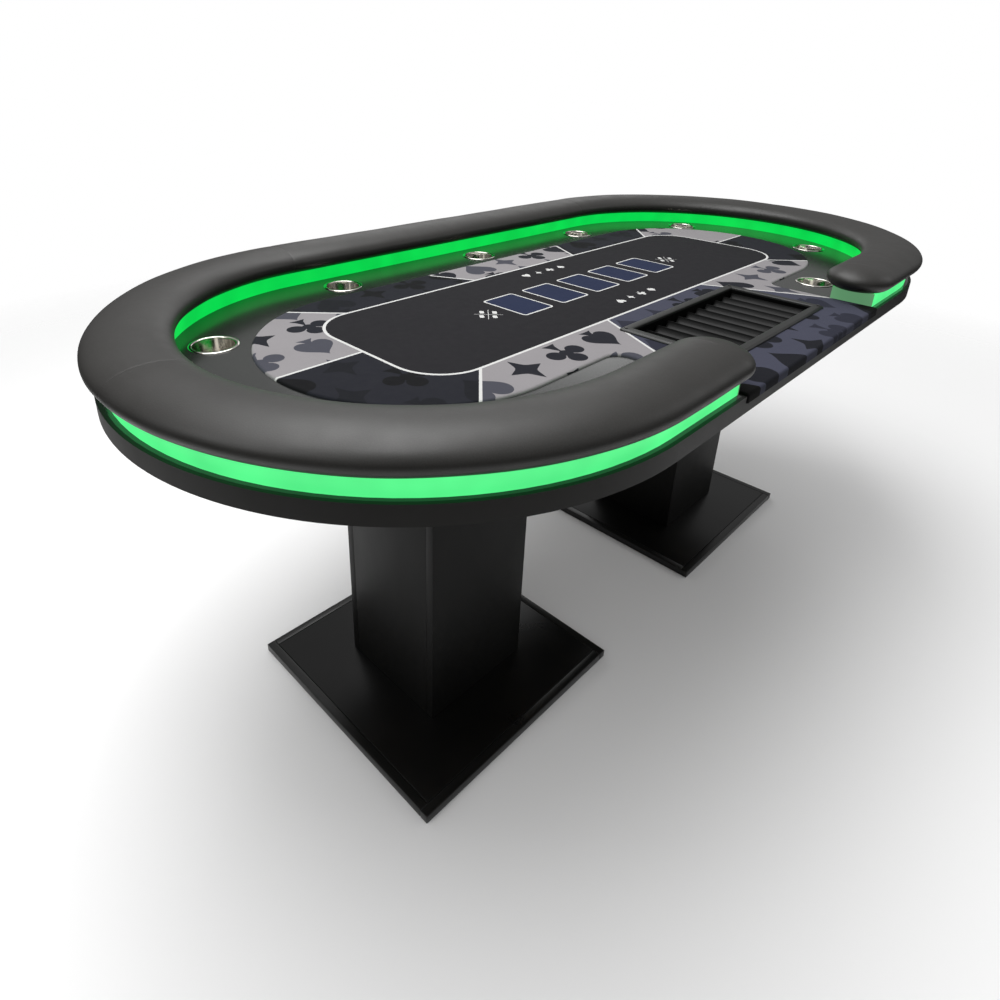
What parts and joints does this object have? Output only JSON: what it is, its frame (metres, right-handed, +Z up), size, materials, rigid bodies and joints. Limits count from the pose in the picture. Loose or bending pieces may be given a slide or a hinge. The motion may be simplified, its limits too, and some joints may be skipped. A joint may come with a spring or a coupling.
{
  "type": "poker table",
  "caption": "Oval poker table: padded rail on a lit riser, printed cloth, drop-in steel cup holders, dealer's chip tray, square box pedestals on flat plates.",
  "frame": {"origin": "on the floor, midway between the two pedestals and on the long centre line", "axes": "+Z up, +X along the table to the dealer's right hand, the dealer sits at -Y"},
  "size_m": [2.082, 1.052, 0.8715],
  "materials": {
    "board_black": "dark laminate, satin",
    "track": "black gloss laminate",
    "raw_board": "plain board",
    "foam": "foam",
    "cloth": "printed speed cloth",
    "led": "lit green",
    "diffuser": "translucent, lit from behind",
    "leather": "soft semi-matte leatherette",
    "fastener": "zinc plated",
    "steel": "polished rim, brushed inside",
    "tray_plastic": "satin moulded",
    "black_screw": "black",
    "pedestal_black": "matt black laminate",
    "base_black": "semi-gloss black laminate",
    "driver_case": "plain",
    "inlet_plastic": "plain",
    "controller_plastic": "plain",
    "button": "plain"
  },
  "bodies": {
    "table": {"base_board": "board_black", "edge_band_near": "board_black", "edge_band_far": "board_black", "edge_band_left": "board_black", "edge_band_right": "board_black", "track_board": "track", "playing_panel": "raw_board", "riser_core": "raw_board", "rail_board": "raw_board", "left_cleats": "raw_board", "right_cleats": "raw_board", "long_battens": "raw_board", "cross_battens": "raw_board", "playing_foam": "foam", "rail_foam": "foam", "playing_cloth": "cloth", "led_strip_inner": "led", "led_strip_outer": "led", "diffuser_inner": "diffuser", "diffuser_outer": "diffuser", "diffuser_ends": "diffuser", "rail_cover_near_left": "leather", "rail_cover_left": "leather", "rail_cover_far": "leather", "rail_cover_right": "leather", "rail_cover_near_right": "leather", "rail_bolts": "fastener", "pedestal_bolts": "fastener", "left_top_plate": "pedestal_black", "left_column_near": "pedestal_black", "left_column_far": "pedestal_black", "left_column_outer": "pedestal_black", "left_column_inner": "pedestal_black", "right_top_plate": "pedestal_black", "right_column_near": "pedestal_black", "right_column_far": "pedestal_black", "right_column_outer": "pedestal_black", "right_column_inner": "pedestal_black", "left_base_plate": "base_black", "left_base_edging": "base_black", "right_base_plate": "base_black", "right_base_edging": "base_black", "led_driver": "driver_case", "cable_trunking": "driver_case", "mains_inlet": "inlet_plastic", "led_controller": "controller_plastic"},
    "cup_1": {"cup_holder_1": "steel"},
    "cup_2": {"cup_holder_2": "steel"},
    "cup_3": {"cup_holder_3": "steel"},
    "cup_4": {"cup_holder_4": "steel"},
    "cup_5": {"cup_holder_5": "steel"},
    "cup_6": {"cup_holder_6": "steel"},
    "cup_7": {"cup_holder_7": "steel"},
    "cup_8": {"cup_holder_8": "steel"},
    "chip_tray": {"tray_frame": "tray_plastic", "tray_well": "tray_plastic", "tray_insert": "tray_plastic", "tray_screws": "black_screw"},
    "button": {"power_button": "button"}
  },
  "joints": [
    {"name": "lift_cup_1", "type": "slide", "parent": "table", "child": "cup_1", "axis": [0, 0, 1], "range_m": [0, 0.16]},
    {"name": "lift_cup_2", "type": "slide", "parent": "table", "child": "cup_2", "axis": [0, 0, 1], "range_m": [0, 0.16]},
    {"name": "lift_cup_3", "type": "slide", "parent": "table", "child": "cup_3", "axis": [0, 0, 1], "range_m": [0, 0.16]},
    {"name": "lift_cup_4", "type": "slide", "parent": "table", "child": "cup_4", "axis": [0, 0, 1], "range_m": [0, 0.16]},
    {"name": "lift_cup_5", "type": "slide", "parent": "table", "child": "cup_5", "axis": [0, 0, 1], "range_m": [0, 0.16]},
    {"name": "lift_cup_6", "type": "slide", "parent": "table", "child": "cup_6", "axis": [0, 0, 1], "range_m": [0, 0.16]},
    {"name": "lift_cup_7", "type": "slide", "parent": "table", "child": "cup_7", "axis": [0, 0, 1], "range_m": [0, 0.16]},
    {"name": "lift_cup_8", "type": "slide", "parent": "table", "child": "cup_8", "axis": [0, 0, 1], "range_m": [0, 0.16]},
    {"name": "lift_chip_tray", "type": "slide", "parent": "table", "child": "chip_tray", "axis": [0, 0, 1], "range_m": [0, 0.12]},
    {"name": "press_power_button", "type": "slide", "parent": "table", "child": "button", "axis": [0, 1, 0], "range_m": [0, 0.0015], "stiffness_N_per_m": 800, "springref_m": -0.0008}
  ]
}
